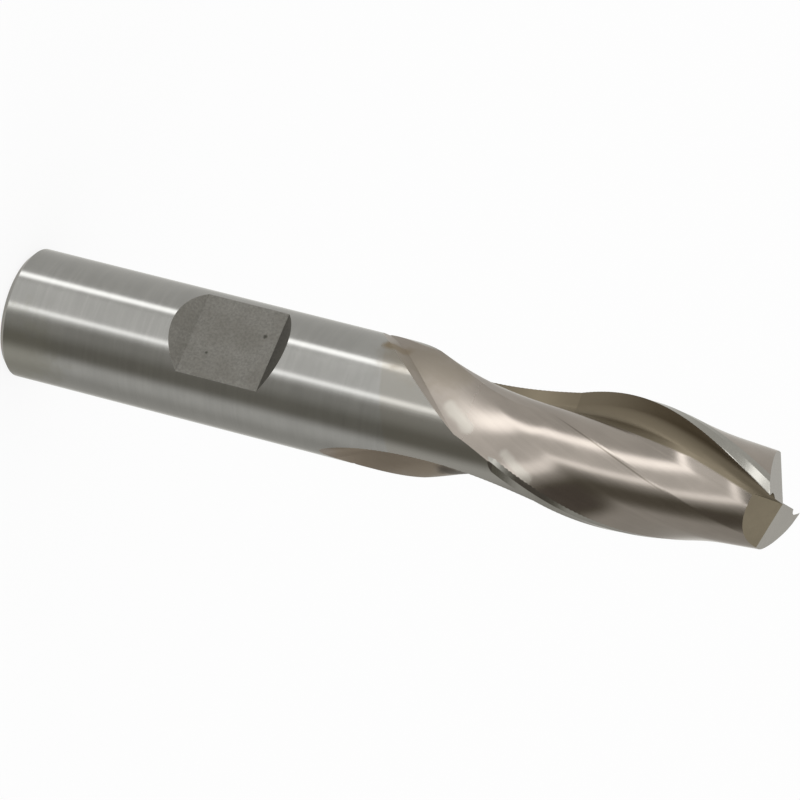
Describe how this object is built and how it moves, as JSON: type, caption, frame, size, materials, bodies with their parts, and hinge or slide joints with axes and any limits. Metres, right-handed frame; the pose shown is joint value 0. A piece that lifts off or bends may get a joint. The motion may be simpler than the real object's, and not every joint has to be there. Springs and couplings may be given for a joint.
{
  "type": "endmill",
  "caption": "Short two-flute right-hand end mill ground from one piece of steel, with a flat on its straight shank for a set screw.",
  "frame": {"origin": "centre of the shank's end face", "axes": "+Z along the tool's axis towards the cutting end; +X and -Y across it, the shank flat facing 24.4 degrees from -Y towards -X"},
  "size_m": [0.0126, 0.0126, 0.0778],
  "materials": {
    "ground_steel": "round-ground high-speed steel with fine grinding lines across the axis; flutes slightly browner, the shank flat matte"
  },
  "bodies": {
    "root": {"endmill": "ground_steel"}
  },
  "joints": []
}
